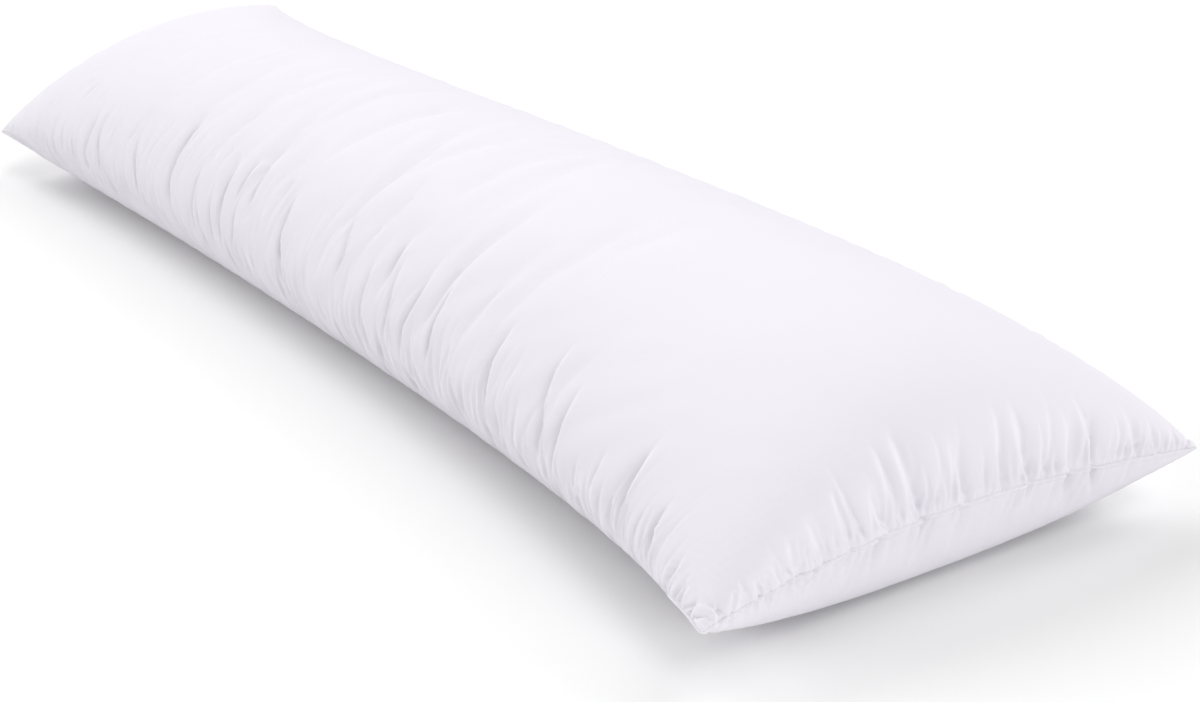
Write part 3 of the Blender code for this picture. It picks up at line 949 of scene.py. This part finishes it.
def cotton():
    """White cotton percale: a fine plain weave, crinkled, and puckered at its seams."""
    material = bpy.data.materials.new("cotton")
    material.use_nodes = True
    tree = material.node_tree
    shader = tree.nodes["Principled BSDF"]
    height = gathers(tree, SIDE_GATHERS, "side_gathers")
    height = join_nodes(tree, "ADD", height, gathers(tree, END_GATHERS, "end_gathers"))
    for layer in (CRINKLE, WARP_THREADS, WEFT_THREADS):
        raised = join_nodes(tree, "MULTIPLY", pattern(tree, layer), layer.height)
        height = join_nodes(tree, "ADD", height, raised)
    bump_node = tree.nodes.new("ShaderNodeBump")
    bump_node.inputs["Distance"].default_value = MILLIMETRE
    tree.links.new(height, bump_node.inputs["Height"])
    tree.links.new(bump_node.outputs["Normal"], shader.inputs["Normal"])

    shades = tree.nodes.new("ShaderNodeValToRGB")
    for element, (position, colour) in zip(shades.color_ramp.elements, COTTON_SHADES):
        element.position = position
        element.color = colour
    tree.links.new(pattern(tree, SHADES), shades.inputs["Fac"])
    tree.links.new(shades.outputs["Color"], shader.inputs["Base Color"])
    shader.inputs["Roughness"].default_value = COTTON_ROUGHNESS
    shader.inputs["Specular IOR Level"].default_value = COTTON_GLOSS
    return material


# The closing seam at the near end is sewn from outside, with one line of stitches in it, and the
# sewing turns the left corner and ends beside the left seam.
STITCH_PITCH = 0.0030
STITCH_LENGTH = 0.0023
STITCH_WIDTH = 0.0006
STITCH_SINK = 0.0002
FIRST_STITCH = 0.008
CORNER_SEWING_SET = 0.0040
CORNER_SEWING_LENGTH = 0.060
STITCH_SIDES = 6

# The thread's finish. Its twist stands up by this height, in metres.
# The thread's colour is a grey darker than white thread: painted shade from the needle holes along the
# seam.
THREAD_PAINTED_SHADE_GREY = (0.58, 0.55, 0.60, 1.0)
THREAD_ROUGHNESS = 0.6
THREAD_TWISTS = 500.0
THREAD_TWIST_HEIGHT = 0.00005

# Points of the cover closer than this on the flat panels are in one line.
SAME_LINE = 1e-5


def cotton_thread():
    """Sewing thread, twisted, coloured grey: painted shade from its needle holes on white thread."""
    material = bpy.data.materials.new("thread")
    material.use_nodes = True
    tree = material.node_tree
    shader = tree.nodes["Principled BSDF"]
    shader.inputs["Base Color"].default_value = THREAD_PAINTED_SHADE_GREY
    shader.inputs["Roughness"].default_value = THREAD_ROUGHNESS
    place = tree.nodes.new("ShaderNodeTexCoord")
    twist = tree.nodes.new("ShaderNodeTexWave")
    twist.bands_direction = "DIAGONAL"
    twist.inputs["Scale"].default_value = THREAD_TWISTS
    bump_node = tree.nodes.new("ShaderNodeBump")
    bump_node.inputs["Distance"].default_value = THREAD_TWIST_HEIGHT
    tree.links.new(place.outputs["Object"], twist.inputs["Vector"])
    tree.links.new(twist.outputs["Fac"], bump_node.inputs["Height"])
    tree.links.new(bump_node.outputs["Normal"], shader.inputs["Normal"])
    return material


def stitch_line(first, places, normals):
    """Copies of the first stitch, one after the other along a line on the cover."""
    distance = np.concatenate(([0.0], np.cumsum(np.linalg.norm(np.diff(places, axis=0), axis=1))))

    def at(values, where):
        return Vector([float(np.interp(where, distance, column)) for column in values.T])

    stitches = []
    for where in np.arange(FIRST_STITCH, distance[-1] - FIRST_STITCH, STITCH_PITCH):
        ahead = at(places, where + 0.5 * STITCH_LENGTH) - at(places, where - 0.5 * STITCH_LENGTH)
        outward = at(normals, where).normalized()
        stitch = first.copy()
        stitch.data = first.data.copy()
        stitch.location = at(places, where) - STITCH_SINK * outward
        stitch.rotation_euler = ahead.to_track_quat("Z", "Y").to_euler()
        bpy.context.scene.collection.objects.link(stitch)
        stitches.append(stitch)
    return stitches


def make_stitches(cover):
    """The stitches along the near end seam and round its left corner: one stitch, copied."""
    mesh = cover.data
    along, across, panel = (point_values(mesh, name) for name in ("along", "across", "panel"))
    normals = point_normals(mesh)
    places = point_places(mesh)

    on_seam = np.flatnonzero((along > 0.5 * CUT_LENGTH - SAME_LINE) & (panel == 0.0))
    on_seam = on_seam[np.argsort(across[on_seam])]
    beside_left = (panel > 0.0) & (along > 0.5 * CUT_LENGTH - CORNER_SEWING_LENGTH)
    column = across[beside_left][np.argmin(np.abs(across[beside_left] - CORNER_SEWING_SET))]
    by_corner = np.flatnonzero(beside_left & (np.abs(across - column) < SAME_LINE))
    by_corner = by_corner[np.argsort(along[by_corner])]

    bpy.ops.object.select_all(action="DESELECT")
    bpy.ops.mesh.primitive_uv_sphere_add(
        segments=STITCH_SIDES, ring_count=STITCH_SIDES, radius=0.5 * STITCH_WIDTH
    )
    first = bpy.context.object
    bpy.ops.object.mode_set(mode="EDIT")
    bpy.ops.mesh.select_all(action="SELECT")
    bpy.ops.transform.resize(value=(1.0, 1.0, STITCH_LENGTH / STITCH_WIDTH))
    bpy.ops.object.mode_set(mode="OBJECT")
    bpy.ops.object.shade_smooth()
    stitches = []
    for line in (on_seam, by_corner):
        stitches += stitch_line(first, places[line], normals[line])
    bpy.data.objects.remove(first)
    bpy.ops.object.select_all(action="DESELECT")
    for stitch in stitches:
        stitch.select_set(True)
    seam_stitches = stitches[0]
    bpy.context.view_layer.objects.active = seam_stitches
    bpy.ops.object.join()
    bpy.ops.object.transform_apply(location=True, rotation=True, scale=True)
    seam_stitches.name = "seam_stitches"
    seam_stitches.data.name = "seam_stitches"
    seam_stitches.data.materials.append(cotton_thread())
    return seam_stitches


FLOOR_SIZE = 30.0
FLOOR_WHITE = (0.88, 0.88, 0.88, 1.0)


def make_floor():
    """A pale floor that reaches past the view."""
    bpy.ops.object.select_all(action="DESELECT")
    bpy.ops.mesh.primitive_plane_add(size=FLOOR_SIZE)
    floor = bpy.context.object
    floor.name = "studio_floor"
    material = bpy.data.materials.new("floor_white")
    material.use_nodes = True
    shader = material.node_tree.nodes["Principled BSDF"]
    shader.inputs["Base Color"].default_value = FLOOR_WHITE
    shader.inputs["Roughness"].default_value = 1.0
    shader.inputs["Specular IOR Level"].default_value = 0.0
    floor.data.materials.append(material)


# The camera: where it looks, from which direction and how far, its sensor and lens in millimetres,
# and the range of distances that it sees.
VIEW_TARGET = Vector((0.3469, -0.0561, 0.0760))
VIEW_AZIMUTH = math.radians(53.420)
VIEW_ELEVATION = math.radians(23.351)
VIEW_DISTANCE = 1.2678
SENSOR_WIDTH = 36.0
LENS = 50.66
NEAREST_SEEN = 0.05
FARTHEST_SEEN = 60.0


def make_camera():
    """The camera, level, looking down along the pillow from its near left."""
    back = Vector(
        (
            math.sin(VIEW_AZIMUTH) * math.cos(VIEW_ELEVATION),
            -math.cos(VIEW_AZIMUTH) * math.cos(VIEW_ELEVATION),
            math.sin(VIEW_ELEVATION),
        )
    )
    data = bpy.data.cameras.new("camera")
    data.sensor_width = SENSOR_WIDTH
    data.lens = LENS
    data.clip_start = NEAREST_SEEN
    data.clip_end = FARTHEST_SEEN
    camera = bpy.data.objects.new("camera", data)
    camera.location = VIEW_TARGET + VIEW_DISTANCE * back
    camera.rotation_euler = back.to_track_quat("Z", "Y").to_euler()
    bpy.context.scene.collection.objects.link(camera)
    bpy.context.scene.camera = camera


# The studio's soft lights, as the direction each comes from, its strength and its spread in degrees.
Softbox = namedtuple("Softbox", "name direction strength spread")
SOFTBOXES = (
    Softbox("far_light", (-0.82, 0.0, 0.57), 1.78, 55),
    Softbox("right_light", (0.0, 0.82, 0.57), 0.92, 30),
    Softbox("high_right_light", (0.0, 0.57, 0.82), 0.42, 30),
    Softbox("high_near_light", (0.57, 0.0, 0.82), 0.87, 30),
    Softbox("low_near_light", (0.94, 0.0, 0.34), 1.20, 30),
    Softbox("low_left_light", (-0.50, -0.78, 0.37), 1.28, 30),
)

# The strength of the even glow that fills in between them.
GLOW = 0.11
WHITE = (1.0, 1.0, 1.0, 1.0)


def make_lights():
    """A white studio: an even glow all round, and six broad soft lights."""
    world = bpy.data.worlds.new("studio")
    world.use_nodes = True
    background = world.node_tree.nodes["Background"]
    background.inputs["Color"].default_value = WHITE
    background.inputs["Strength"].default_value = GLOW
    bpy.context.scene.world = world
    for softbox in SOFTBOXES:
        data = bpy.data.lights.new(softbox.name, "SUN")
        data.energy = softbox.strength
        data.angle = math.radians(softbox.spread)
        light = bpy.data.objects.new(softbox.name, data)
        light.rotation_euler = Vector(softbox.direction).to_track_quat("Z", "Y").to_euler()
        bpy.context.scene.collection.objects.link(light)
    bpy.context.scene.view_settings.view_transform = "Standard"


cover = make_cover()
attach(cover, "root")
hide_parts("pillow")

stitches = make_stitches(cover)
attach(stitches, "root")

make_floor()
make_camera()
make_lights()
